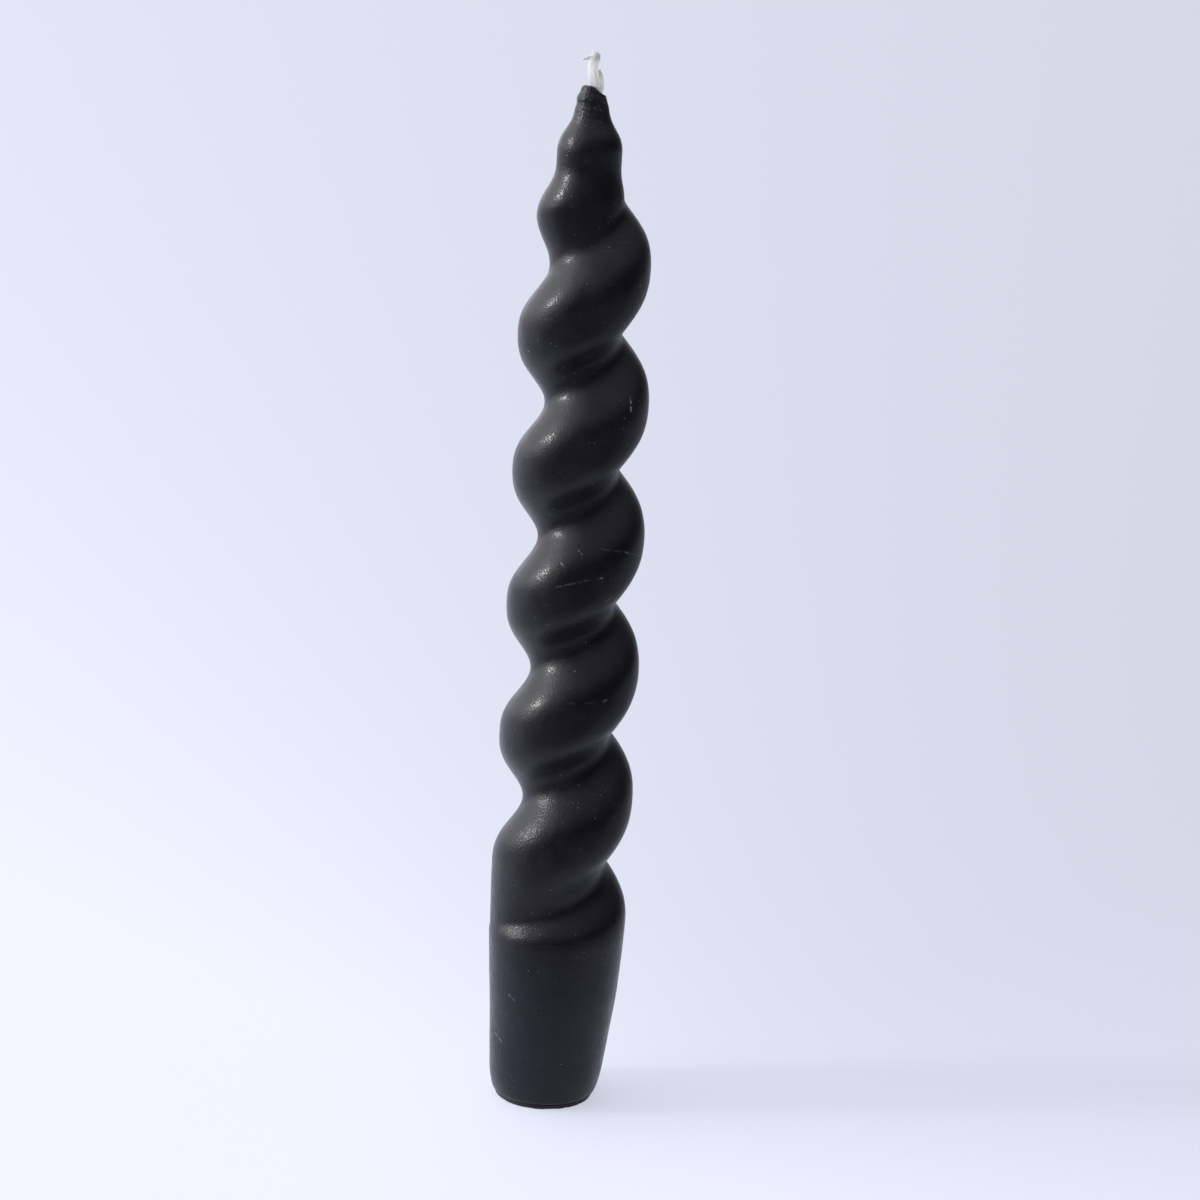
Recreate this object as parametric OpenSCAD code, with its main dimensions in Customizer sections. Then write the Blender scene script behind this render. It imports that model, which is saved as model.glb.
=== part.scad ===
// Spiral candle: a pale wax core with one rounded groove wound round it, a dyed wax coat over it,
// and a plaited cotton wick through the middle.
// Millimetres, +Z up, origin at the middle of the base. The front of the candle faces -Y.

/* [Spiral] */
// Height of the wax, from the base to the tip, without the wick
wax_h = 180; // [177:1:186]
// Rise of the spiral in one turn
pitch = 23.6; // [20:0.1:27]
// Radius over the ridge just above the foot
ridge_low_r = 12.35; // [12.1:0.05:12.6]
// Radius over the ridge where the top turn starts to close
ridge_high_r = 11.4; // [10:0.1:11.6]
// Radius at the floor of the groove just above the foot
root_low_r = 7.8; // [6.6:0.1:8.4]
// Radius at the floor of the groove where the top turn starts to close
root_high_r = 6.3; // [5.6:0.1:7]
// How broad the ridge is against the groove, 0 for equal
ridge_fullness = 0.17; // [0:0.01:0.24]
// Direction of the ridge at the level of the base, in degrees from +X
ridge_start = 227; // [0:1:359]
// Lean of the turns, in degrees
turn_lean = 6.3; // [0:0.1:8]
// Direction that the turns rise towards, in degrees from +X
turn_lean_dir = 68; // [0:1:359]
// How far the middle of the candle bows out towards +X
bow = 1.1; // [0:0.1:2]
// Length over which the top turn closes, down from the tip
top_turn_h = 43; // [38:1:48]

/* [Foot] */
// Radius of the flat base
base_r = 8.7; // [8:0.1:9]
// How far the base sits off the middle line of the candle
base_offset = 0.5; // [0:0.1:1]
// Height of the small straight lip round the base
lip_h = 0.5; // [0.3:0.1:0.8]
// Height of the rounded edge above the base
foot_edge_h = 6.5; // [4:0.5:10]
// Radius of the tapered foot, continued down to the base
foot_r = 9.7; // [9.4:0.1:9.9]
// Taper of the foot on each side, in degrees
foot_taper = 5; // [4.8:0.1:5.6]
// Height above the rim of the foot where the groove starts, with no depth
groove_gap = 0.7; // [0.2:0.1:2]
// Height over which the groove comes to its full depth
groove_run = 12; // [8:0.5:16]

/* [Neck and nose] */
// Radius of the straight neck
neck_r = 5.5; // [5:0.1:6]
// Height of the neck between its shoulder and the cut below it
neck_h = 5.4; // [3:0.1:6]
// Angle between the axis and the sloping cut that ends the top turn, in degrees
neck_cut = 36; // [25:1:40]
// Distance from the shoulder of the neck up to the tip
nose_h = 9.2; // [9:0.1:11]
// Height of the hollow flare from the shoulder up to the nose
flare_h = 7.2; // [7:0.1:8]
// How soon the flare narrows above the shoulder, 1 for an even curve
flare_bend = 1.45; // [1:0.05:1.6]
// How far the nose sits off the middle line of the candle
nose_offset = 0.3; // [0:0.1:0.5]
// Radius of the nose above the flare
nose_r = 2.8; // [2.5:0.1:3]
// Height of the round end of the nose
tip_h = 2.6; // [2.2:0.1:2.8]

/* [Coat and wick] */
// Thickness of the dyed coat, measured square to the axis
coat_t = 0.8; // [0.5:0.1:0.9]
// Length of wick that stands out of the tip
wick_out = 6; // [3:0.5:10]
// Diameter of one ply of the wick
ply_d = 0.85; // [0.6:0.05:0.85]
// Length of one plait of the three plies
plait_h = 8; // [6:0.5:12]

/* [Hidden] */

coat_colour = "#27282c";
core_colour = "#efe8d8";
wick_colour = "#f4f2ec";

// Gap between the coat and the core
bond_gap = 0.05;
// Half width and half depth of the plait, between the middles of the plies
plait_w = 0.85;
plait_d = 0.58;
// Channel for the wick, and the wax that stands round it at the tip
channel_r = 1.4;
tip_rim = 0.5;
// Distance of the top of the core below the round end of the nose
core_drop = 1;
// Rounding where the foot cuts the ridge, and where the top turn is cut and runs into the neck
foot_blend = 0.8;
cut_blend = 2.5;
neck_blend = 1.5;
// Least height of the lowest side of the groove
least_side_h = 0.01;
// Height above the base where the base's offset ends
offset_h = 20;

shoulder_z = wax_h - nose_h;
tip_z = wax_h - tip_h;
neck_low_z = shoulder_z - neck_h;
top_turn_z = wax_h - top_turn_h;
core_top_z = tip_z - core_drop;
foot_top_z = (ridge_low_r - foot_r) / tan(foot_taper);
groove_start_z = foot_top_z + groove_gap;
groove_full_z = groove_start_z + groove_run;
// Below this height the foot is a plain cone
cone_top_z = foot_top_z - pitch / 3;
// Above this height the rim of the foot has no effect on the outside
rim_top_z = groove_start_z + pitch / 3;
// The lean of the turns grows above the foot and fades out below the neck
lean_grow = [24, 48];
lean_fade = [151, 165];

// Facets round the axis, and the steps between rings
sides = 32;
ply_sides = 6;
foot_edge_steps = 4;
foot_edge_inner_step = 2.5;
outer_step = 2.4;
rim_step = 1.2;
inner_step = 3.2;
foot_outer_step = 5;
foot_inner_step = 8;
nose_outer_step = 1.05;
nose_inner_step = 1.6;
tip_step = 0.65;
ply_step = 1.2;
channel_step = 12;

function smooth_step(t) = let (u = min(max(t, 0), 1)) u * u * (3 - 2 * u);
function between(z, low, high) = smooth_step((z - low) / (high - low));
function half_turn(a) = a - 360 * floor((a + 180) / 360);
function soft_min(a, b, k) = min(a, b) - pow(max(k - abs(a - b), 0), 2) / (4 * k);
function soft_max(a, b, k) = max(a, b) + pow(max(k - abs(a - b), 0), 2) / (4 * k);
function steps(low, high, step) =
    let (n = ceil((high - low) / step))
    [for (i = [0 : n - 1]) low + (high - low) * i / n];

// Middle line of the candle
function middle_x(z) =
    let (t = min(z / wax_h, 1))
    4 * bow * t * (1 - t)
    + base_offset * smooth_step(z / offset_h)
    + nose_offset * between(z, neck_low_z, tip_z);
function lean_at(z) =
    tan(turn_lean) * between(z, lean_grow[0], lean_grow[1]) * (1 - between(z, lean_fade[0], lean_fade[1]));

// Radius over the ridge and at the floor of the groove, where they are at height z
function up_body(z, low, high) = low + (high - low) * (z - foot_top_z) / (top_turn_z - foot_top_z);
function ridge_line(z) = up_body(z, ridge_low_r, ridge_high_r);
function ridge_at(z) = ridge_line(z) * (1 - pow(min(max((z - top_turn_z) / top_turn_h, 0), 1), 3));
function root_at(z) =
    let (
        full_depth = ridge_line(z) - up_body(z, root_low_r, root_high_r),
        depth = full_depth * between(z, groove_start_z, groove_full_z)
    )
    (ridge_line(z) - depth) * (1 - between(z, neck_low_z, shoulder_z));

// Radius of the spiral in direction a at height z, between the ridge and the groove nearest to it.
// The lowest side of the groove ends on the rim of the foot instead of on a ridge.
function spiral_r(a, z) =
    let (
        from_ridge = half_turn(a - ridge_start - 360 * z / pitch),
        from_groove = half_turn(from_ridge - 180),
        groove_z = z + from_groove * pitch / 360,
        ridge = ridge_at(z + from_ridge * pitch / 360),
        root = root_at(groove_z),
        above_rim = 180 * (z - foot_top_z) / max(groove_z - foot_top_z, least_side_h),
        at_rim = from_ridge < 0 && groove_z - pitch / 2 < foot_top_z,
        side = at_rim ? min(max(above_rim, 0), 180) : from_ridge,
        share = (1 + cos(side)) / 2 + ridge_fullness * pow(sin(side), 2)
    )
    root + (ridge - root) * share;

function foot_at(z) = foot_r + z * tan(foot_taper);
function cut_at(z) = neck_r + (neck_low_z - z) * tan(neck_cut);
function foot_edge_r(z) =
    let (
        up = max(z, lip_h),
        t = (foot_edge_h - up) / (foot_edge_h - lip_h)
    )
    foot_at(up) - (foot_at(lip_h) - base_r) * (1 - sqrt(1 - t * t));
function flare_at(z) =
    let (t = min(max((z - shoulder_z) / flare_h, 0), 1))
    smooth_step(1 - pow(1 - t, flare_bend));
function nose_at(z) =
    neck_r - (neck_r - nose_r) * flare_at(z)
    - (nose_r - channel_r - tip_rim) * smooth_step((z - tip_z) / tip_h);

// Radius of the outside of the candle in direction a at height z
function candle_r(a, z) =
    z < foot_edge_h ? foot_edge_r(z)
    : z >= shoulder_z ? nose_at(z)
    : soft_max(
        soft_min(soft_min(spiral_r(a, z), foot_at(z), foot_blend), cut_at(z), cut_blend),
        neck_r,
        neck_blend
    );

// One ring of points, inset from the outside of the candle, or of a plain radius round the middle line
function body_ring(z, inset) = [
    for (i = [0 : sides - 1])
        let (a = 360 * i / sides, r = candle_r(a, z) - inset)
        [middle_x(z) + r * cos(a), r * sin(a), z + lean_at(z) * r * cos(a - turn_lean_dir)]
];
function plain_ring(z, r) = [
    for (i = [0 : sides - 1])
        let (a = 360 * i / sides)
        [middle_x(z) + r * cos(a), r * sin(a), z]
];

// Triangles between one ring and the next
function strip(low, high, n) = [
    for (i = [0 : n - 1])
        let (k = (i + 1) % n)
        each [[low + i, high + i, high + k], [low + i, high + k, low + k]]
];
function wall_faces(count, n) = [for (j = [0 : count - 2]) each strip(j * n, (j + 1) * n, n)];
function end_faces(count, n) = [[for (i = [0 : n - 1]) i], [for (i = [n - 1 : -1 : 0]) (count - 1) * n + i]];
function loop_faces(count, n) = strip((count - 1) * n, 0, n);
function flat(rings) = [for (ring = rings) each ring];

// Heights of the rings on the outside of the candle, and under the coat
foot_edge_heights = [
    for (i = [0 : foot_edge_steps - 1])
        foot_edge_h - (foot_edge_h - lip_h) * cos(90 * i / foot_edge_steps)
];
outer_heights = concat(
    [0],
    foot_edge_heights,
    steps(foot_edge_h, cone_top_z, foot_outer_step),
    steps(cone_top_z, foot_top_z, outer_step),
    steps(foot_top_z, rim_top_z, rim_step),
    steps(rim_top_z, shoulder_z, outer_step),
    steps(shoulder_z, tip_z, nose_outer_step),
    steps(tip_z, wax_h, tip_step),
    [wax_h]
);
inner_heights = concat(
    steps(coat_t, foot_edge_h, foot_edge_inner_step),
    steps(foot_edge_h, cone_top_z, foot_inner_step),
    steps(cone_top_z, shoulder_z, inner_step),
    steps(shoulder_z, core_top_z, nose_inner_step),
    [core_top_z]
);
core_bottom_z = coat_t + bond_gap;
channel_heights = concat(steps(core_bottom_z, core_top_z, channel_step), [core_top_z]);

// Black outer coat, closed under the base and open only where the wick comes out
module dyed_wax_coat() {
    inner_count = len(inner_heights);
    rings = concat(
        [for (z = outer_heights) body_ring(z, 0)],
        [plain_ring(wax_h, channel_r), plain_ring(core_top_z + bond_gap, channel_r)],
        [body_ring(core_top_z + bond_gap, coat_t)],
        [for (j = [inner_count - 2 : -1 : 0]) body_ring(inner_heights[j], coat_t)]
    );
    color(coat_colour)
        polyhedron(flat(rings), concat(wall_faces(len(rings), sides), end_faces(len(rings), sides)));
}

// Pale core under the coat, with the channel for the wick right through it
module wax_core() {
    inset = coat_t + bond_gap;
    channel_count = len(channel_heights);
    rings = concat(
        [body_ring(core_bottom_z, inset)],
        [for (j = [1 : len(inner_heights) - 1]) body_ring(inner_heights[j], inset)],
        [for (j = [channel_count - 1 : -1 : 0]) plain_ring(channel_heights[j], channel_r)]
    );
    color(core_colour)
        polyhedron(flat(rings), concat(wall_faces(len(rings), sides), loop_faces(len(rings), sides)));
}

// One of the three plies of the wick, plaited along the middle line
module wick_ply(number) {
    top_z = wax_h + wick_out;
    heights = concat(steps(core_bottom_z, top_z, ply_step), [top_z]);
    rings = [
        for (z = heights)
            let (
                turn = 360 * z / plait_h + 120 * number,
                x = middle_x(z) + plait_w * sin(turn),
                y = plait_d * sin(2 * turn)
            )
            [for (i = [0 : ply_sides - 1])
                let (a = 360 * i / ply_sides)
                [x + ply_d / 2 * cos(a), y + ply_d / 2 * sin(a), z]]
    ];
    color(wick_colour)
        polyhedron(flat(rings), concat(wall_faces(len(rings), ply_sides), end_faces(len(rings), ply_sides)));
}

dyed_wax_coat();
wax_core();
wick_ply(1);  // wick_ply_1
wick_ply(2);  // wick_ply_2
wick_ply(3);  // wick_ply_3
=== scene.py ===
"""Looks of the spiral candle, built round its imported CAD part.

Metres, +Z up, origin at the middle of the base. The photograph looks along +Y.
The wax follows the same formula as the solids, with more points and with the marks of a dipped candle.
"""

import math

import bpy
import numpy as np
from mathutils import Matrix, Vector


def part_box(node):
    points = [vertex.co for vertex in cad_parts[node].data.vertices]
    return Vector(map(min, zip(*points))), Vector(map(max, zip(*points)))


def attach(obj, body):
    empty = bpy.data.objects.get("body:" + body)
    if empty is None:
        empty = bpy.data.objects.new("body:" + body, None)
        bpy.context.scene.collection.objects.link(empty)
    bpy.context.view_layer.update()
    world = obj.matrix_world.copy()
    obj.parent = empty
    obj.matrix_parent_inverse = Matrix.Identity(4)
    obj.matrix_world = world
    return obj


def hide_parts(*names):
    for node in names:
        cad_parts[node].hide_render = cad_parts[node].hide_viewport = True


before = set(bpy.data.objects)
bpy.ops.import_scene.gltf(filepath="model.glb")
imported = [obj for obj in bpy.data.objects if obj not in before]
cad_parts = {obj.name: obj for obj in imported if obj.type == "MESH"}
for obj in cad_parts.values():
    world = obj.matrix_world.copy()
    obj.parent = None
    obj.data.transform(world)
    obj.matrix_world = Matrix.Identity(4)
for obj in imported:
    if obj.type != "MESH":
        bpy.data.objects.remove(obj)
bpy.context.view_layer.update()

MM = 0.001

# Heights that come from the frame
WAX_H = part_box("dyed_wax_coat")[1].z
CORE_LOW_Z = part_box("wax_core")[0].z
CORE_TOP_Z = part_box("wax_core")[1].z
WICK_TOP_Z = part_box("wick_ply_1")[1].z

# Spiral
PITCH = 23.6 * MM
RIDGE_LOW_R = 12.35 * MM
RIDGE_HIGH_R = 11.4 * MM
ROOT_LOW_R = 7.8 * MM
ROOT_HIGH_R = 6.3 * MM
RIDGE_FULLNESS = 0.17
RIDGE_START = math.radians(227)
TURN_LEAN = math.radians(6.3)
TURN_LEAN_DIR = math.radians(68)
BOW = 1.1 * MM
TOP_TURN_H = 43 * MM
LEAN_GROW = (24 * MM, 48 * MM)
LEAN_FADE = (151 * MM, 165 * MM)

# Foot
BASE_R = 8.7 * MM
BASE_OFFSET = 0.5 * MM
OFFSET_H = 20 * MM
LIP_H = 0.5 * MM
FOOT_EDGE_H = 6.5 * MM
FOOT_R = 9.7 * MM
FOOT_SLOPE = math.tan(math.radians(5))
GROOVE_GAP = 0.7 * MM
GROOVE_RUN = 12 * MM
LEAST_SIDE_H = 0.01 * MM

# Neck and nose
NECK_R = 5.5 * MM
NECK_H = 5.4 * MM
NECK_CUT = math.tan(math.radians(36))
NOSE_H = 9.2 * MM
NOSE_OFFSET = 0.3 * MM
FLARE_H = 7.2 * MM
FLARE_BEND = 1.45
NOSE_R = 2.8 * MM
TIP_H = 2.6 * MM
CHANNEL_R = 1.4 * MM
TIP_RIM = 0.5 * MM
FOOT_BLEND = 1.3 * MM
CUT_BLEND = 2.5 * MM
NECK_BLEND = 1.5 * MM

SHOULDER_Z = WAX_H - NOSE_H
TIP_Z = WAX_H - TIP_H
NECK_LOW_Z = SHOULDER_Z - NECK_H
TOP_TURN_Z = WAX_H - TOP_TURN_H
FOOT_TOP_Z = (RIDGE_LOW_R - FOOT_R) / FOOT_SLOPE
GROOVE_START_Z = FOOT_TOP_Z + GROOVE_GAP
GROOVE_FULL_Z = GROOVE_START_Z + GROOVE_RUN

# Coat and core
BOND_GAP = 0.05 * MM
COAT_T = CORE_LOW_Z - BOND_GAP

# Uneven wax: depth and size of the lumps, of the grain on the nose and of the pits round the base
WAX_LUMPS = ((0.05 * MM, 7 * MM), (0.02 * MM, 2.6 * MM), (0.012 * MM, 1.1 * MM))
NOSE_GRAIN = (0.025 * MM, 0.6 * MM)
TIP_LUMPS = (0.06 * MM, 1.2 * MM)
BASE_PITS = (0.18 * MM, 0.6 * MM)
PIT_TOP_Z = 1.6 * MM
NOTCH_Z = 0.95 * MM
NOTCH_H = 0.22 * MM
NOTCH_D = 0.3 * MM
BASE_HOLLOW = 0.15 * MM
BASE_ROUND = 0.15 * MM

# Rim of the tip: lower at the right, with a lobe of wax at the front, round a hole right of the middle
RIM_R = CHANNEL_R + TIP_RIM
RIM_DROP = 0.65 * MM
RIM_TILT = 0.55 * MM
RIM_LOW_DIR = math.radians(10)
LOBE_H = 0.35 * MM
LOBE_DIR = math.radians(265)
LOBE_W = math.radians(38)
CREST_H = 0.55 * MM
CREST_SHARE = 0.5
TIP_BULGE = 0.25 * MM
CREST_DIR = math.radians(200)
HOLE_R = 1.1 * MM
HOLE_SHIFT = (0.75 * MM, 0.12 * MM)
SHOULDER_ROUND = 0.9 * MM

# Scratches on the wax, each from one direction in degrees and height in mm to another, and its strength
SCRATCHES = (
    ((323, 129.4), (319, 127.4), 0.7),
    ((293, 104.2), (316, 103.1), 0.1),
    ((316, 103.1), (338, 101.2), 0.3),
    ((273, 103.8), (276, 103.4), 0.4),
    ((256, 101.8), (260, 101.4), 0.4),
    ((255, 98.0), (284, 99.4), 0.14),
    ((290, 99.4), (294, 99.4), 0.4),
    ((300, 94.8), (304, 95.2), 0.3),
    ((246, 90.6), (251, 91.2), 0.12),
    ((272, 77.4), (275, 77.4), 0.08),
    ((285, 77.4), (292, 77.4), 0.06),
    ((300, 77.4), (303, 77.5), 0.3),
    ((206, 12.8), (219, 11.9), 0.5),
    ((228, 21.5), (235, 20.8), 0.3),
    ((338, 22.8), (338, 21.6), 0.5),
)
SCRATCH_W = 0.22 * MM
SCUFF_SLANT = math.radians(-12)
UNROLL_R = 11 * MM

# Facets of the wax
SIDES = 272
RING_STEP = 0.33 * MM
LIP_STEP = 0.09 * MM
INNER_STEP = 2.4 * MM
BASE_STEPS = 10
RIM_STEPS = 10
HOLE_STEPS = 6
CORE_SIDES = 112
CORE_STEP = 1.2 * MM
LEAST_R = 0.2 * MM

# Wick: a plait of three plies, each of twisted strands, drawn together and frayed at its end
PLAIT_H = 8 * MM
PLAIT_W = 0.85 * MM
PLAIT_D = 0.58 * MM
PLY_R = 0.42 * MM
PLY_SIDES = 42
PLY_STEP = 0.6 * MM
PLY_FINE_STEP = 0.12 * MM
STRANDS = 6
STRAND_CUT = 0.12
STRAND_R = 0.16 * MM
STRAND_PITCH = 6 * MM
STRAND_SIDES = 8
SWELL = 0.5
SWELL_Z = (WAX_H - 0.6 * MM, WAX_H + 1 * MM)
EXIT_CLOSE = 0.15
PINCH = 0.12
PINCH_Z = (WAX_H + 2 * MM, WAX_H + 4.6 * MM)
WICK_LEAN = 0.55 * MM
LEAN_Z = (WAX_H, WAX_H + 3.6 * MM)
WICK_RETURN = 0.45 * MM
RETURN_Z = (WAX_H + 4 * MM, WAX_H + 6 * MM)
PLY_DROP = (-0.3 * MM, 2.7 * MM, 0.0)
FRAY_L = 1 * MM
FRAY_SPREAD = 0.25 * MM
FRAY_RISE = 0.3 * MM
END_TAPER = 0.45
STRAND_OUT = 0.8
STRAND_TAPER = 0.6
FRAY_POINTS = 9

# Tuft of loose yarn on the left of the wick's end
TUFT_FIBRES = 16
TUFT_POINTS = 9
TUFT_SIDES = 6
TUFT_L = 2.1 * MM
TUFT_SHORTEST = 0.65
TUFT_Z = WAX_H + 5.4 * MM
TUFT_R = 0.14 * MM
TUFT_SPREAD = (0, 0.3 * MM, 0.45 * MM)
TUFT_CLOSING = 0.7
TUFT_TAPER = 0.75
TUFT_START_DIR = (-1, 0, 0.05)
TUFT_BEND = (0, 0, -0.3)

# Fine fibres all over the shown wick
FUZZ_COUNT = 26
FUZZ_POINTS = 5
FUZZ_SIDES = 4
FUZZ_L = 0.6 * MM
FUZZ_LENGTHS = (0.7, 1.4)
FUZZ_R = 0.022 * MM
FUZZ_DEPTH = 0.6
FUZZ_RISE = 0.8
FUZZ_CURL = 0.4
FUZZ_TAPER = 0.6

# Looks of the dyed wax; colours are shares of red, green and blue
WAX_COLOUR = (0.0044, 0.0042, 0.0064)
BLOOM_COLOUR = (0.009, 0.0087, 0.0138)
BLOOM_SIZE = 6 * MM
# Painted reflection: a lighter violet-blue tint over the foot, fading out above its rim, stands in for
# the pale bluish paper that the foot mirrors
FOOT_REFLECTION_COLOUR = (0.0066, 0.0055, 0.014)
FOOT_REFLECTION_SHARE = 0.7
FOOT_REFLECTION_FADE_Z = (FOOT_TOP_Z - 8 * MM, FOOT_TOP_Z + 4 * MM)
SCUFF_COLOUR = (0.042, 0.043, 0.048)
SCUFF_SHARE = 0.3
SCUFF_SIZE = 0.5 * MM
SCUFF_STRETCH = (0.08, 1, 1)
RUBBED_SIZE = 9 * MM
SCRATCH_COLOUR = (0.22, 0.23, 0.245)
SCRATCH_BREAK = 0.5 * MM
DUST_COLOUR = (0.46, 0.47, 0.5)
DUST_APART = 2.6 * MM
DUST_R = (0.06 * MM, 0.11 * MM)
# Fine pale specks in patches: partly dust, partly painted glints where the grain would catch the light
FINE_DUST_AND_GLINT_COLOUR = (0.26, 0.265, 0.28)
FINE_DUST_AND_GLINT_APART = 0.8 * MM
FINE_DUST_AND_GLINT_R = (0.05 * MM, 0.11 * MM)
DUST_AND_GLINT_PATCH = 6 * MM
GRAIN_SIZE = 0.36 * MM
GRAIN_DEPTH = 0.24 * MM
COARSE_GRAIN = 0.6
FOOT_GRAIN = 0.4
BODY_GRAIN = 0.21
GRAIN_FADE_Z = (35 * MM, 80 * MM)
FLECK_SHARE = 0.8
GLOSS_SIZE = 3 * MM
GLOSS_ROUGHNESS = (0.38, 0.5)
COLD_SHEEN = (0.92, 0.95, 1, 1)

# Looks of the pale wax and of the cotton
PALE_COLOURS = ((0.76, 0.7, 0.58), (0.88, 0.83, 0.74))
PALE_ROUGHNESS = (0.4, 0.6)
CLOUD_SIZE = 4 * MM
CLOUD_DEPTH = 0.1 * MM
COTTON_COLOURS = ((0.965, 0.96, 0.945), (0.99, 0.985, 0.975))
COTTON_ROUGHNESS = (0.75, 0.95)
FIBRE_SIZE = 0.12 * MM
FIBRE_STRETCH = (1, 1, 0.15)
FIBRE_DEPTH = 0.04 * MM
THROUGH_SHARE = 0.7

# Paper: its glow for the camera and for mirrors, painted brighter towards the window on the left front,
# and where mirrors see it end
FLOOR_SIZE = 16
PAPER_COLOURS = ((0.76, 0.78, 0.89), (0.8, 0.82, 0.93))
PAPER_FIBRE = 1.5 * MM
GLOW_COLOUR = (0.82, 0.845, 1, 1)
GLOW_SHARE = 0.615
# Painted light falloff: the glow is strongest towards this direction, where the window lamps stand
GLOW_WINDOW_DIR = (-0.75, -0.65, 0)
GLOW_NEAR = 60 * MM
GLOW_STRENGTH = (0.48, 1.06)
PAPER_END_Y = -120 * MM
PAPER_END_X = (30 * MM, 110 * MM)
END_SHARE_Y = 0.8
END_SHARE_X = 0.5
END_STRENGTH = 0.05

# Room, and lamps with azimuth, elevation and width in degrees, then strength
ROOM_COLOUR = (0.94, 0.96, 1, 1)
CEILING_LIGHT = (0.047, 0.78)
WALL_LIGHT = 1.65
WALL_DIR = (135, 12)
BACKDROP_COLOUR = (0.72, 0.75, 0.86, 1)
LAMPS = {
    "window": (84, 22, 42, 0.72),
    "window_glow": (84, 24, 86, 0.98),
    "sky": (82, 23, 8, 1.1),
}

# Camera
CAMERA_AIM = Vector((6.09, 0, 91.98)) * MM
CAMERA_DISTANCE = 557.5 * MM
CAMERA_ELEVATION = math.radians(13.96)
CAMERA_ROLL = math.radians(-2.72)
CAMERA_LENS = 96.0
CAMERA_SENSOR = 36.0


# Shape of the candle
def smooth(t):
    u = np.clip(t, 0, 1)
    return u * u * (3 - 2 * u)


def between(z, low, high):
    return smooth((z - low) / (high - low))


def half_turn(a):
    return a - math.tau * np.floor((a + math.pi) / math.tau)


def soft_min(a, b, k):
    return np.minimum(a, b) - np.maximum(k - np.abs(a - b), 0) ** 2 / (4 * k)


def soft_max(a, b, k):
    return np.maximum(a, b) + np.maximum(k - np.abs(a - b), 0) ** 2 / (4 * k)


def up_body(z, low, high):
    return low + (high - low) * (z - FOOT_TOP_Z) / (TOP_TURN_Z - FOOT_TOP_Z)


def ridge_at(z):
    closing = np.clip((z - TOP_TURN_Z) / TOP_TURN_H, 0, 1)
    return up_body(z, RIDGE_LOW_R, RIDGE_HIGH_R) * (1 - closing ** 3)


def root_at(z):
    ridge = up_body(z, RIDGE_LOW_R, RIDGE_HIGH_R)
    depth = (ridge - up_body(z, ROOT_LOW_R, ROOT_HIGH_R)) * between(z, GROOVE_START_Z, GROOVE_FULL_Z)
    return (ridge - depth) * (1 - between(z, NECK_LOW_Z, SHOULDER_Z))


def spiral_radius(a, z):
    """Radius between the nearest ridge and groove; the groove's lowest side ends on the foot's rim."""
    from_ridge = half_turn(a - RIDGE_START - math.tau * z / PITCH)
    from_groove = half_turn(from_ridge - math.pi)
    groove_z = z + from_groove * PITCH / math.tau
    ridge = ridge_at(z + from_ridge * PITCH / math.tau)
    root = root_at(groove_z)
    above_rim = math.pi * (z - FOOT_TOP_Z) / np.maximum(groove_z - FOOT_TOP_Z, LEAST_SIDE_H)
    at_rim = (from_ridge < 0) & (groove_z - PITCH / 2 < FOOT_TOP_Z)
    side = np.where(at_rim, np.clip(above_rim, 0, math.pi), from_ridge)
    share = (1 + np.cos(side)) / 2 + RIDGE_FULLNESS * np.sin(side) ** 2
    return root + (ridge - root) * share


def foot_edge_radius(z):
    up = np.clip(z, LIP_H, FOOT_EDGE_H)
    t = (FOOT_EDGE_H - up) / (FOOT_EDGE_H - LIP_H)
    drop = FOOT_R + LIP_H * FOOT_SLOPE - BASE_R
    return FOOT_R + up * FOOT_SLOPE - drop * (1 - np.sqrt(1 - t * t))


def nose_radius(z):
    up_flare = np.clip((z - SHOULDER_Z) / FLARE_H, 0, 1)
    flare = (NECK_R - NOSE_R) * smooth(1 - (1 - up_flare) ** FLARE_BEND)
    tip = (NOSE_R - RIM_R) * smooth((z - TIP_Z) / TIP_H)
    return NECK_R - flare - tip


def candle_radius(a, z):
    """Radius of the outside of the candle in direction a at height z."""
    r = soft_min(spiral_radius(a, z), FOOT_R + z * FOOT_SLOPE, FOOT_BLEND)
    r = soft_min(r, NECK_R + (NECK_LOW_Z - z) * NECK_CUT, CUT_BLEND)
    r = soft_max(r, NECK_R, NECK_BLEND)
    r = np.where(z >= SHOULDER_Z, nose_radius(z), r)
    return np.where(z < FOOT_EDGE_H, foot_edge_radius(z), r)


def middle_x(z):
    t = np.minimum(z / WAX_H, 1)
    ends = BASE_OFFSET * smooth(z / OFFSET_H) + NOSE_OFFSET * between(z, NECK_LOW_Z, TIP_Z)
    return 4 * BOW * t * (1 - t) + ends


def place(a, z, r):
    """Points at radius r round the leaning middle of the candle."""
    lean = math.tan(TURN_LEAN) * between(z, *LEAN_GROW) * (1 - between(z, *LEAN_FADE))
    x = middle_x(z) + r * np.cos(a)
    return np.stack([x, r * np.sin(a), z + lean * r * np.cos(a - TURN_LEAN_DIR)], -1)


# Uneven wax
def noise(points, size, seed):
    """Smooth random values from -1 to 1 at the points, in lumps of the given size."""
    count = 32
    lattice = np.random.default_rng(seed).uniform(-1, 1, (count, count, count))
    cell = np.floor(points / size).astype(int)
    t = smooth(points / size - cell)
    value = np.zeros(points.shape[:-1])
    for corner in np.ndindex(2, 2, 2):
        x, y, z = np.moveaxis((cell + corner) % count, -1, 0)
        value += lattice[x, y, z] * np.prod(np.where(corner, t, 1 - t), -1)
    return value


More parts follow.
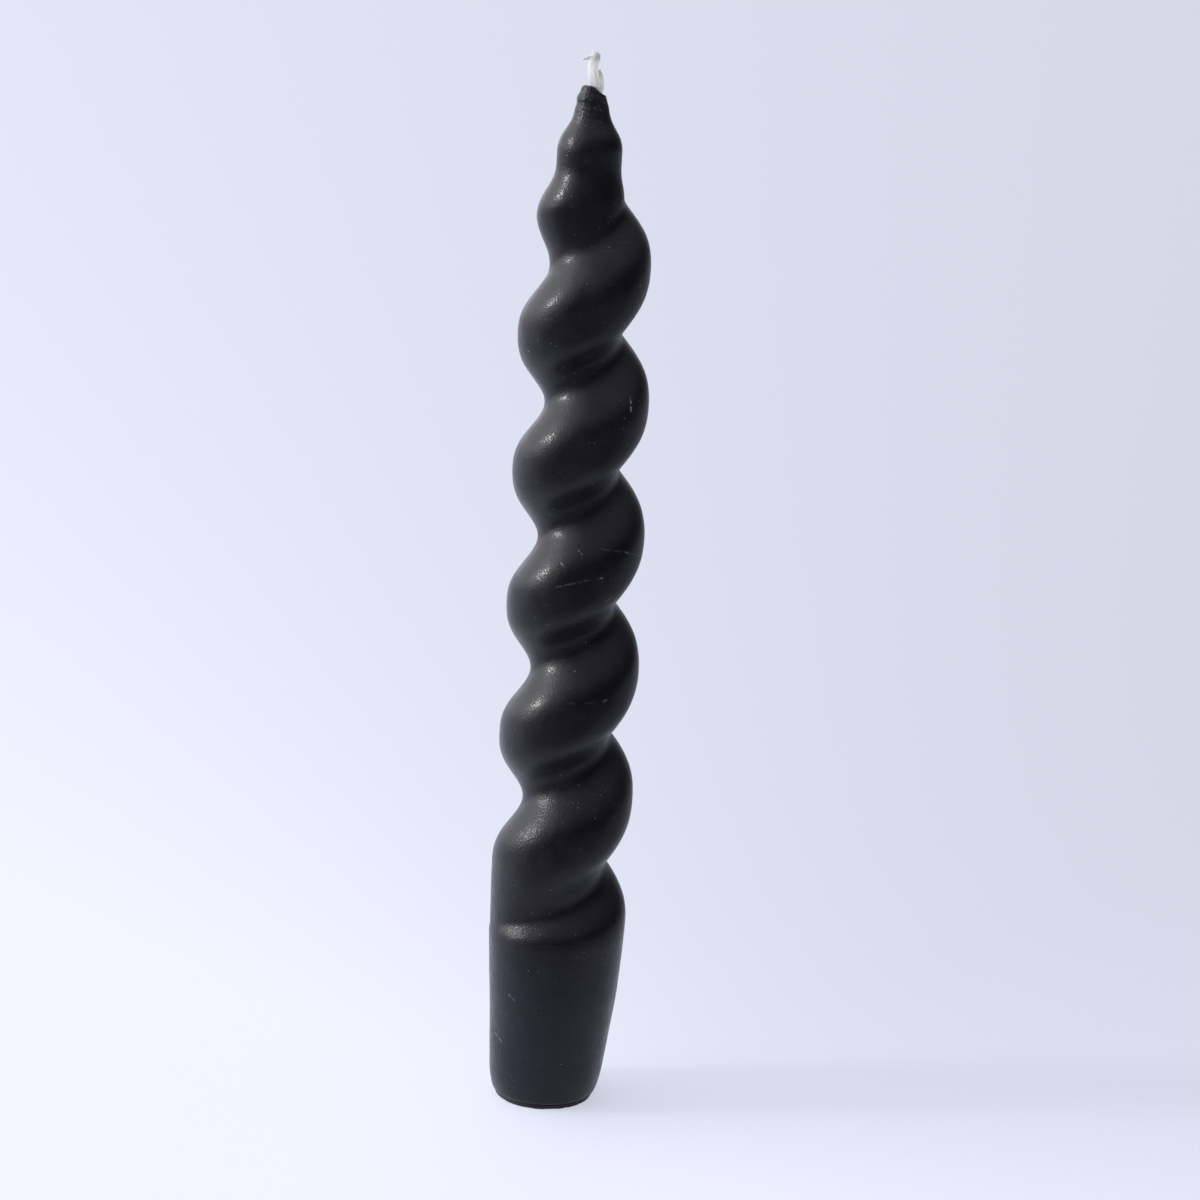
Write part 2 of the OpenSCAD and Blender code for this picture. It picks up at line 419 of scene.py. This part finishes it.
def uneven(points, z):
    """How far the outside of the wax lies off the formula."""
    off = sum(depth * noise(points, size, seed) for seed, (depth, size) in enumerate(WAX_LUMPS))
    off = off + between(z, SHOULDER_Z, TIP_Z) * NOSE_GRAIN[0] * noise(points, NOSE_GRAIN[1], 11)
    off = off + between(z, TIP_Z - TIP_H, TIP_Z) * TIP_LUMPS[0] * noise(points, TIP_LUMPS[1], 12)
    pits = np.maximum(noise(points, BASE_PITS[1], 13), 0)
    return off - (1 - between(z, LIP_H, PIT_TOP_Z)) * BASE_PITS[0] * pits


def rim_top(a):
    """Height in direction a at which the wall of the tip rounds over."""
    lobe = LOBE_H * np.exp(-(half_turn(a - LOBE_DIR) / LOBE_W) ** 2)
    return WAX_H - RIM_DROP - RIM_TILT * np.cos(a - RIM_LOW_DIR) + lobe


def on_tip(a, z):
    """Height z taken onto the uneven tip."""
    return np.where(z > TIP_Z, TIP_Z + (z - TIP_Z) * (rim_top(a) - TIP_Z) / TIP_H, z)


def rounded_radius(a, z):
    """Radius of the outside with the bends of the nose rounded off and a fuller tip."""
    r = candle_radius(a, z)
    around = (candle_radius(a, z - SHOULDER_ROUND) + candle_radius(a, z + SHOULDER_ROUND)) / 2
    near = between(z, NECK_LOW_Z, SHOULDER_Z) * (1 - between(z, TIP_Z, WAX_H))
    left = (1 - np.cos(a - RIM_LOW_DIR)) / 2
    bulge = TIP_BULGE * np.sin(math.pi * np.clip((z - TIP_Z) / TIP_H, 0, 1)) ** 2
    return r + near * (around - r) + left * bulge


def outer_rings(a):
    """Rings over the base, up the outside and over the rim, ending at the edge of the hole."""
    rings = []
    for share in np.linspace(LEAST_R / BASE_R, 1, BASE_STEPS)[:-1]:
        r = np.full_like(a, (BASE_R - BASE_ROUND) * share)
        points = place(a, np.zeros_like(a), r)
        points[:, 2] = BASE_HOLLOW * (1 - share ** 2) * (1 + noise(points, BASE_PITS[1], 14)) / 2
        rings.append(points)
    lip = np.arange(0, PIT_TOP_Z, LIP_STEP)
    wall = np.linspace(PIT_TOP_Z, WAX_H, round(WAX_H / RING_STEP))
    for z in np.concatenate([lip, wall]):
        height = on_tip(a, np.full_like(a, z))
        notch = NOTCH_D * math.exp(-((z - NOTCH_Z) / NOTCH_H) ** 2)
        r = rounded_radius(a, height) - max(BASE_ROUND - z, 0) - notch
        rings.append(place(a, height, r + uneven(place(a, height, r), height)))
    wall_r = r + uneven(place(a, height, r), height)
    crest = CREST_H * (1 + CREST_SHARE * np.cos(a - CREST_DIR))
    for turn in np.linspace(0, math.pi, RIM_STEPS)[1:]:
        share = (1 - math.cos(turn)) / 2
        points = place(a, height + crest * math.sin(turn), wall_r + (HOLE_R - wall_r) * share)
        rings.append(points + share * hole_shift(WAX_H))
    return rings


def hole_shift(z):
    """How far the wick and its hole lie off the middle of the candle at height z."""
    x, y = HOLE_SHIFT
    return np.multiply.outer(between(z, CORE_TOP_Z, WAX_H), np.array((x, y, 0)))


def inner_rings(a):
    """Rings down the hole and the inside of the coat, ending in the middle of its floor."""
    top = CORE_TOP_Z + BOND_GAP
    rings = []
    for z in np.linspace(WAX_H, top, HOLE_STEPS)[1:]:
        rings.append(place(a, on_tip(a, np.full_like(a, z)), np.full_like(a, HOLE_R)) + hole_shift(z))
    for z in np.linspace(top, COAT_T, round(top / INNER_STEP)):
        height = np.full_like(a, z)
        rings.append(place(a, height, candle_radius(a, height) - COAT_T))
    rings.append(place(a, np.full_like(a, COAT_T), np.full_like(a, LEAST_R)))
    return rings


def core_rings(a):
    """Rings up the outside of the core and down the channel for the wick."""
    heights = np.linspace(CORE_LOW_Z, CORE_TOP_Z, round(CORE_TOP_Z / CORE_STEP))
    outside = [place(a, np.full_like(a, z), candle_radius(a, np.full_like(a, z)) - COAT_T - BOND_GAP)
               for z in heights]
    across = CHANNEL_R * np.cos(a)
    channel = [np.stack([middle_x(z) + across, CHANNEL_R * np.sin(a), np.full_like(a, z)], -1)
               for z in heights[::-1]]
    return outside + channel


# Meshes
def make_piece(name, tubes, closed=False):
    """A piece made of tubes of rings; each tube ends in a flat face or, where closed, joins its start."""
    verts = []
    faces = []
    for rings in tubes:
        rings = np.asarray(rings)
        count, sides = rings.shape[:2]
        index = len(verts) + np.arange(count * sides).reshape(count, sides)
        low, high = (index, np.roll(index, -1, 0)) if closed else (index[:-1], index[1:])
        quads = np.stack([low, np.roll(low, -1, 1), np.roll(high, -1, 1), high], -1)
        verts.extend(rings.reshape(-1, 3).tolist())
        faces.extend(quads.reshape(-1, 4).tolist())
        if not closed:
            faces.extend([index[0, ::-1].tolist(), index[-1].tolist()])
    mesh = bpy.data.meshes.new(name)
    mesh.from_pydata(verts, [], faces)
    mesh.polygons.foreach_set("use_smooth", [True] * len(mesh.polygons))
    mesh.update()
    piece = bpy.data.objects.new(name, mesh)
    bpy.context.scene.collection.objects.link(piece)
    return piece


def tube(points, radii, sides):
    """Rings of a strand along a line of points; each ring has one radius or one for each of its sides."""
    along = np.gradient(points, axis=0)
    along /= np.linalg.norm(along, axis=1, keepdims=True)
    across = np.cross(along, (0, 1, 0))
    across /= np.linalg.norm(across, axis=1, keepdims=True)
    other = np.cross(along, across)
    turn = np.linspace(0, math.tau, sides, endpoint=False)[:, None, None]
    rings = points + np.atleast_2d(radii)[..., None] * (np.cos(turn) * across - np.sin(turn) * other)
    return np.moveaxis(rings, 0, 1)


# Wick
def ply_line(number, z):
    """Middle of one ply at each height: plaited up to the tip, then drawn together and bent left."""
    turn = math.tau * (np.minimum(z, WAX_H) / PLAIT_H + number / 3)
    width = 1 - EXIT_CLOSE * between(z, CORE_TOP_Z, WAX_H) - PINCH * between(z, *PINCH_Z)
    lean = WICK_LEAN * between(z, *LEAN_Z) - WICK_RETURN * between(z, *RETURN_Z)
    x = middle_x(z) + width * PLAIT_W * np.sin(turn) - lean
    y = width * PLAIT_D * np.sin(2 * turn)
    return np.stack([x, y, z], -1) + hole_shift(z)


def ply_tubes(number, random):
    """One ply of twisted strands, which come apart at its end."""
    top = WICK_TOP_Z - PLY_DROP[number - 1]
    hidden = np.arange(CORE_LOW_Z + PLY_R, SWELL_Z[0], PLY_STEP)
    z = np.concatenate([hidden, np.arange(SWELL_Z[0], top, PLY_FINE_STEP), [top]])
    radii = PLY_R * (1 + SWELL * between(z, *SWELL_Z)) * (1 - END_TAPER * between(z, top - FRAY_L, top))
    round_ply = np.linspace(0, math.tau, PLY_SIDES, endpoint=False)[:, None]
    strand = np.abs(np.cos(STRANDS / 2 * (round_ply - math.tau * z / STRAND_PITCH)))
    tubes = [tube(ply_line(number, z), radii * (1 - STRAND_CUT * (1 - strand)), PLY_SIDES)]
    t = np.linspace(0, 1, FRAY_POINTS)
    for angle in np.linspace(0, math.tau, STRANDS, endpoint=False):
        low = top - FRAY_L
        end = top + FRAY_RISE * random.uniform(-1, 1)
        points = ply_line(number, low + (end - low) * t)
        out = PLY_R * STRAND_OUT + FRAY_SPREAD * random.uniform(0, 1) * t ** 2
        turn = angle + math.tau * points[:, 2] / STRAND_PITCH
        points[:, 0] += out * np.cos(turn)
        points[:, 1] += out * np.sin(turn)
        tubes.append(tube(points, STRAND_R * (1 - STRAND_TAPER * t ** 3), STRAND_SIDES))
    return tubes


def fuzz_tubes(number, random):
    """Fine loose fibres that stand off the shown end of one ply."""
    tubes = []
    high = WICK_TOP_Z - PLY_DROP[number - 1]
    t = np.linspace(0, 1, FUZZ_POINTS)[:, None]
    for _ in range(FUZZ_COUNT):
        start = ply_line(number, np.array([random.uniform(WAX_H, high)]))[0]
        angle = random.uniform(0, math.tau)
        out = np.array((math.cos(angle), FUZZ_DEPTH * math.sin(angle), random.uniform(0, FUZZ_RISE)))
        length = FUZZ_L * random.uniform(*FUZZ_LENGTHS)
        curl = random.uniform(-FUZZ_CURL, FUZZ_CURL, 3)
        points = start + length * t * out + length * t ** 2 * curl
        tubes.append(tube(points, FUZZ_R * (1 - FUZZ_TAPER * t[:, 0]), FUZZ_SIDES))
    return tubes


def tuft_tubes(random):
    """The bent tuft of yarn that points left from the end of the wick."""
    tubes = []
    start = ply_line(1, np.array([TUFT_Z]))[0]
    t = np.linspace(0, 1, TUFT_POINTS)[:, None]
    bend = np.array(TUFT_START_DIR) * t + np.array(TUFT_BEND) * t ** 2
    for _ in range(TUFT_FIBRES):
        spread = random.uniform(-1, 1, 3) * np.array(TUFT_SPREAD)
        length = TUFT_L * random.uniform(TUFT_SHORTEST, 1)
        points = start + length * bend + spread * (1 - TUFT_CLOSING * t)
        tubes.append(tube(points, TUFT_R * (1 - TUFT_TAPER * t[:, 0] ** 2), TUFT_SIDES))
    return tubes


# Materials
def set_inputs(tree, node, inputs):
    """Set the inputs of a node to values, or link them to the outputs of other nodes."""
    for key, value in inputs.items():
        if isinstance(value, bpy.types.NodeSocket):
            tree.links.new(value, node.inputs[key])
        else:
            node.inputs[key].default_value = value


def add(tree, kind, inputs=(), **settings):
    """A new node with its settings and inputs."""
    made = tree.nodes.new(kind)
    for key, value in settings.items():
        setattr(made, key, value)
    set_inputs(tree, made, dict(inputs))
    return made


def new_material(name):
    material = bpy.data.materials.new(name)
    material.use_nodes = True
    tree = material.node_tree
    return material, tree, tree.nodes["Principled BSDF"]


def noise_node(tree, at, size, detail):
    made = add(tree, "ShaderNodeTexNoise", {"Vector": at, "Scale": 1 / size, "Detail": detail})
    return made.outputs["Fac"]


def ramp(tree, value, low, high, first, last):
    """The value taken from the range low to high onto the range first to last."""
    made = add(tree, "ShaderNodeMapRange", {"Value": value, 1: low, 2: high, 3: first, 4: last},
               interpolation_type="SMOOTHSTEP")
    return made.outputs["Result"]


def blend(tree, share, under, over):
    """A colour laid over another."""
    made = add(tree, "ShaderNodeMix", {"Factor": share, 6: under, 7: (*over, 1)}, data_type="RGBA")
    return made.outputs[2]


def colours(tree, share, first, last):
    """A colour between two colours."""
    return blend(tree, share, (*first, 1), last)


def calculate(tree, operation, first, second):
    made = add(tree, "ShaderNodeMath", {0: first, 1: second}, operation=operation)
    return made.outputs[0]


def mix_shaders(tree, share, first, last):
    return add(tree, "ShaderNodeMixShader", {0: share, 1: first.outputs[0], 2: last.outputs[0]})


def unrolled(tree, at):
    """Place on the wax rolled out flat: distance round it, height."""
    split = add(tree, "ShaderNodeSeparateXYZ", {0: at}).outputs
    turn = calculate(tree, "ARCTAN2", split["Y"], split["X"])
    across = calculate(tree, "MULTIPLY", turn, UNROLL_R)
    return add(tree, "ShaderNodeCombineXYZ", {"X": across, "Y": split["Z"]}).outputs[0]


def on_unrolled(azimuth, height):
    """Place on the wax rolled out flat of a point of its surface."""
    a = math.radians(azimuth)
    z = height * MM
    x, y, up = place(a, z, candle_radius(a, z))
    return Vector((math.atan2(y, x) * UNROLL_R, up, 0))


def scratch_distance(tree, flat, start, end):
    """Distance from a straight scratch on the wax rolled out flat."""
    along = end - start
    away = add(tree, "ShaderNodeVectorMath", {0: flat, 1: start}, operation="SUBTRACT").outputs[0]
    share = add(tree, "ShaderNodeVectorMath", {0: away, 1: along / along.length_squared},
                operation="DOT_PRODUCT").outputs["Value"]
    share = add(tree, "ShaderNodeClamp", {"Value": share}).outputs[0]
    nearest = add(tree, "ShaderNodeVectorMath", {0: along, "Scale": share}, operation="SCALE").outputs[0]
    return add(tree, "ShaderNodeVectorMath", {0: away, 1: nearest}, operation="DISTANCE").outputs["Value"]


def scratches(tree, at):
    """Strength of the scratches, which are broken lines."""
    flat = unrolled(tree, at)
    line = 0.0
    for start, end, strength in SCRATCHES:
        distance = scratch_distance(tree, flat, on_unrolled(*start), on_unrolled(*end))
        mark = ramp(tree, distance, SCRATCH_W / 3, SCRATCH_W, strength, 0.0)
        line = calculate(tree, "MAXIMUM", mark, line)
    broken = ramp(tree, noise_node(tree, at, SCRATCH_BREAK, 1), 0.43, 0.53, 0.0, 1.0)
    return calculate(tree, "MULTIPLY", line, broken)


def specks(tree, at, apart, core_r, edge_r):
    """Round specks some distance apart, of random strength."""
    cells = add(tree, "ShaderNodeTexVoronoi", {"Vector": at, "Scale": 1 / apart})
    chance = add(tree, "ShaderNodeSeparateColor", {0: cells.outputs["Color"]}).outputs[0]
    spot = ramp(tree, cells.outputs["Distance"], core_r / apart, edge_r / apart, 1.0, 0.0)
    return calculate(tree, "MULTIPLY", spot, ramp(tree, chance, 0.45, 1.0, 0.0, 1.0))


def scuffs(tree, at):
    """Faint fine lines where the wax has been rubbed."""
    slanted = add(tree, "ShaderNodeMapping", {
        "Vector": unrolled(tree, at),
        "Rotation": (0, 0, SCUFF_SLANT),
        "Scale": SCUFF_STRETCH,
    }).outputs[0]
    line = ramp(tree, noise_node(tree, slanted, SCUFF_SIZE, 2), 0.62, 0.72, 0.0, 1.0)
    rubbed = ramp(tree, noise_node(tree, at, RUBBED_SIZE, 2), 0.5, 0.65, 0.0, 1.0)
    return calculate(tree, "MULTIPLY", line, rubbed)


def dyed_wax():
    """Black wax with a grey bloom, a fine grain, scuffs, scratches and specks of dust, a painted
    reflection of the pale paper tinting the foot, and painted glints among the fine specks.
    """
    material, tree, shader = new_material("dyed_wax")
    at = add(tree, "ShaderNodeTexCoord").outputs["Object"]
    height = add(tree, "ShaderNodeSeparateXYZ", {0: at}).outputs["Z"]
    bloom = ramp(tree, noise_node(tree, at, BLOOM_SIZE, 5), 0.4, 0.7, 0.0, 1.0)
    wax = colours(tree, bloom, WAX_COLOUR, BLOOM_COLOUR)
    # Painted reflection of the pale bluish paper: the foot is tinted lighter and bluer
    foot = ramp(tree, height, *FOOT_REFLECTION_FADE_Z, FOOT_REFLECTION_SHARE, 0.0)
    wax = blend(tree, foot, wax, FOOT_REFLECTION_COLOUR)
    dust = specks(tree, at, DUST_APART, *DUST_R)
    # Fine specks, partly dust and partly painted glints of the grain, kept to patches
    patches = ramp(tree, noise_node(tree, at, DUST_AND_GLINT_PATCH, 3), 0.47, 0.62, 0.0, 1.0)
    fine_dust_and_glint = calculate(tree, "MULTIPLY", specks(tree, at, FINE_DUST_AND_GLINT_APART, *FINE_DUST_AND_GLINT_R), patches)
    scuff = calculate(tree, "MULTIPLY", scuffs(tree, at), SCUFF_SHARE)
    colour = blend(tree, scuff, wax, SCUFF_COLOUR)
    colour = blend(tree, scratches(tree, at), colour, SCRATCH_COLOUR)
    colour = blend(tree, fine_dust_and_glint, colour, FINE_DUST_AND_GLINT_COLOUR)
    colour = blend(tree, dust, colour, DUST_COLOUR)
    grain = noise_node(tree, at, GRAIN_SIZE, 2)
    nose = ramp(tree, height, SHOULDER_Z, TIP_Z, 0.0, 1.0)
    lip = ramp(tree, height, LIP_H, PIT_TOP_Z, 1.0, 0.0)
    coarse = calculate(tree, "MAXIMUM", nose, lip)
    depth = calculate(tree, "MULTIPLY", coarse, COARSE_GRAIN)
    fine = ramp(tree, height, *GRAIN_FADE_Z, FOOT_GRAIN, BODY_GRAIN)
    depth = calculate(tree, "MAXIMUM", depth, fine)
    bump = add(tree, "ShaderNodeBump", {"Height": grain, "Strength": depth, "Distance": GRAIN_DEPTH})
    fleck = calculate(tree, "MULTIPLY", ramp(tree, grain, 0.55, 0.68, 0.0, FLECK_SHARE), coarse)
    colour = blend(tree, fleck, colour, SCUFF_COLOUR)
    set_inputs(tree, shader, {
        "Base Color": colour,
        "Roughness": ramp(tree, noise_node(tree, at, GLOSS_SIZE, 6), 0.3, 0.7, *GLOSS_ROUGHNESS),
        "Specular IOR Level": 0.16,
        "Coat Weight": 0.26,
        "Coat Roughness": 0.12,
        "Sheen Weight": 0.22,
        "Sheen Roughness": 0.3,
        "Sheen Tint": COLD_SHEEN,
        "Normal": bump.outputs["Normal"],
        "Coat Normal": bump.outputs["Normal"],
    })
    return material


def pale_wax():
    """Pale paraffin with faint clouds."""
    material, tree, shader = new_material("pale_wax")
    at = add(tree, "ShaderNodeTexCoord").outputs["Object"]
    cloud = noise_node(tree, at, CLOUD_SIZE, 5)
    bump = add(tree, "ShaderNodeBump", {"Height": cloud, "Strength": 0.2, "Distance": CLOUD_DEPTH})
    set_inputs(tree, shader, {
        "Base Color": colours(tree, cloud, *PALE_COLOURS),
        "Roughness": ramp(tree, cloud, 0.3, 0.7, *PALE_ROUGHNESS),
        "Normal": bump.outputs["Normal"],
    })
    return material


def wick_cotton():
    """White cotton with fine fibres along the strands, which lets light through."""
    material, tree, shader = new_material("wick_cotton")
    at = add(tree, "ShaderNodeTexCoord").outputs["Object"]
    long = add(tree, "ShaderNodeVectorMath", {0: at, 1: FIBRE_STRETCH}, operation="MULTIPLY").outputs[0]
    fibre = noise_node(tree, long, FIBRE_SIZE, 3)
    bump = add(tree, "ShaderNodeBump", {"Height": fibre, "Strength": 0.5, "Distance": FIBRE_DEPTH})
    colour = colours(tree, fibre, *COTTON_COLOURS)
    set_inputs(tree, shader, {
        "Base Color": colour,
        "Roughness": ramp(tree, fibre, 0.3, 0.7, *COTTON_ROUGHNESS),
        "Sheen Weight": 0.3,
        "Normal": bump.outputs["Normal"],
    })
    through = add(tree, "ShaderNodeBsdfTranslucent", {"Color": colour, "Normal": bump.outputs["Normal"]})
    mixed = mix_shaders(tree, THROUGH_SHARE, shader, through)
    tree.links.new(mixed.outputs[0], tree.nodes["Material Output"].inputs["Surface"])
    return material


def paper():
    """Pale bluish paper that glows when seen or mirrored, with the window's light painted into the glow
    as a falloff across it; mirrors see its front and right ends.
    """
    material, tree, shader = new_material("paper")
    at = add(tree, "ShaderNodeTexCoord").outputs["Object"]
    fibre = noise_node(tree, at, PAPER_FIBRE, 4)
    set_inputs(tree, shader, {
        "Base Color": colours(tree, fibre, *PAPER_COLOURS),
        "Roughness": 0.9,
        "Specular IOR Level": 0.1,
    })
    rays = add(tree, "ShaderNodeLightPath").outputs
    mirrored = calculate(tree, "MAXIMUM", rays["Is Glossy Ray"], rays["Is Transmission Ray"])
    seen = calculate(tree, "MAXIMUM", rays["Is Camera Ray"], mirrored)
    # Painted light falloff: the glow is strongest towards the window on the left front and weaker to the
    # right and far back
    side = add(tree, "ShaderNodeVectorMath", {0: at, 1: GLOW_WINDOW_DIR}, operation="DOT_PRODUCT")
    reach = add(tree, "ShaderNodeVectorMath", {0: at}, operation="LENGTH")
    reach = calculate(tree, "ADD", reach.outputs["Value"], GLOW_NEAR)
    toward = calculate(tree, "DIVIDE", side.outputs["Value"], reach)
    strength = ramp(tree, toward, -1.2, 0.2, *GLOW_STRENGTH)
    glow = add(tree, "ShaderNodeEmission", {"Color": GLOW_COLOUR, "Strength": strength})
    near = mix_shaders(tree, calculate(tree, "MULTIPLY", seen, GLOW_SHARE), shader, glow)
    split = add(tree, "ShaderNodeSeparateXYZ", {0: at}).outputs
    front = ramp(tree, split["Y"], PAPER_END_Y, 0.0, END_SHARE_Y, 0.0)
    right_hand = ramp(tree, split["X"], *PAPER_END_X, 0.0, END_SHARE_X)
    beyond = calculate(tree, "MULTIPLY", mirrored, calculate(tree, "MAXIMUM", front, right_hand))
    dark = add(tree, "ShaderNodeEmission", {"Color": GLOW_COLOUR, "Strength": END_STRENGTH})
    mixed = mix_shaders(tree, beyond, near, dark)
    tree.links.new(mixed.outputs[0], tree.nodes["Material Output"].inputs["Surface"])
    return material


# Pieces
def dress(piece, node, material):
    """Let a piece stand for a node of the solids, with its material."""
    piece.data.materials.append(material)
    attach(piece, "root")
    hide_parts(node)


round_coat = np.linspace(0, math.tau, SIDES, endpoint=False)
coat = make_piece("coat", [outer_rings(round_coat) + inner_rings(round_coat)])
dress(coat, "dyed_wax_coat", dyed_wax())

round_core = np.linspace(0, math.tau, CORE_SIDES, endpoint=False)
core = make_piece("core", [core_rings(round_core)], closed=True)
dress(core, "wax_core", pale_wax())

cotton = wick_cotton()
for number in (1, 2, 3):
    random = np.random.default_rng(number)
    tubes = ply_tubes(number, random) + fuzz_tubes(number, random)
    if number == 1:
        tubes += tuft_tubes(random)
    dress(make_piece("ply_%d" % number, tubes), "wick_ply_%d" % number, cotton)

# Floor, light and camera
bpy.ops.mesh.primitive_plane_add(size=FLOOR_SIZE)
floor = bpy.context.object
floor.name = "floor"
floor.data.materials.append(paper())


def direction(azimuth, elevation):
    """A direction in the room, its azimuth counted from the camera's side towards the left."""
    a = math.radians(azimuth)
    e = math.radians(elevation)
    return Vector((-math.sin(a) * math.cos(e), -math.cos(a) * math.cos(e), math.sin(e)))


def sun(name, azimuth, elevation, angle, strength):
    """A distant lamp with a soft edge."""
    lamp = bpy.data.lights.new(name, "SUN")
    lamp.angle = math.radians(angle)
    lamp.energy = strength
    piece = bpy.data.objects.new(name, lamp)
    bpy.context.scene.collection.objects.link(piece)
    piece.rotation_euler = direction(azimuth, elevation).to_track_quat("Z", "Y").to_euler()


def room():
    """A dim room with a bright ceiling and a bright wall behind on the left, and a pale backdrop."""
    world = bpy.data.worlds.new("room")
    world.use_nodes = True
    tree = world.node_tree
    to = add(tree, "ShaderNodeTexCoord").outputs["Generated"]
    up_share = add(tree, "ShaderNodeSeparateXYZ", {0: to}).outputs["Z"]
    ceiling = ramp(tree, up_share, 0.3, 0.95, *CEILING_LIGHT)
    facing = add(tree, "ShaderNodeVectorMath", {0: to, 1: direction(*WALL_DIR)}, operation="DOT_PRODUCT")
    wall = ramp(tree, facing.outputs["Value"], 0.2, 0.9, 0.0, WALL_LIGHT)
    light = tree.nodes["Background"]
    set_inputs(tree, light, {"Color": ROOM_COLOUR, "Strength": calculate(tree, "ADD", ceiling, wall)})
    backdrop = add(tree, "ShaderNodeBackground", {"Color": BACKDROP_COLOUR, "Strength": 1.0})
    seen = add(tree, "ShaderNodeLightPath").outputs["Is Camera Ray"]
    mixed = mix_shaders(tree, seen, light, backdrop)
    tree.links.new(mixed.outputs[0], tree.nodes["World Output"].inputs["Surface"])
    return world


for name, values in LAMPS.items():
    sun(name, *values)
bpy.context.scene.world = room()

camera = bpy.data.cameras.new("camera")
camera.lens = CAMERA_LENS
camera.sensor_width = CAMERA_SENSOR
camera_piece = bpy.data.objects.new("camera", camera)
bpy.context.scene.collection.objects.link(camera_piece)
backward = Vector((0, -math.cos(CAMERA_ELEVATION), math.sin(CAMERA_ELEVATION)))
right = Vector((1, 0, 0))
up = backward.cross(right)
tilted_right = math.cos(CAMERA_ROLL) * right - math.sin(CAMERA_ROLL) * up
tilted_up = backward.cross(tilted_right)
axes = Matrix((tilted_right, tilted_up, backward)).transposed().to_4x4()
camera_piece.matrix_world = Matrix.Translation(CAMERA_AIM + CAMERA_DISTANCE * backward) @ axes
bpy.context.scene.camera = camera_piece
bpy.context.scene.view_settings.view_transform = "Standard"
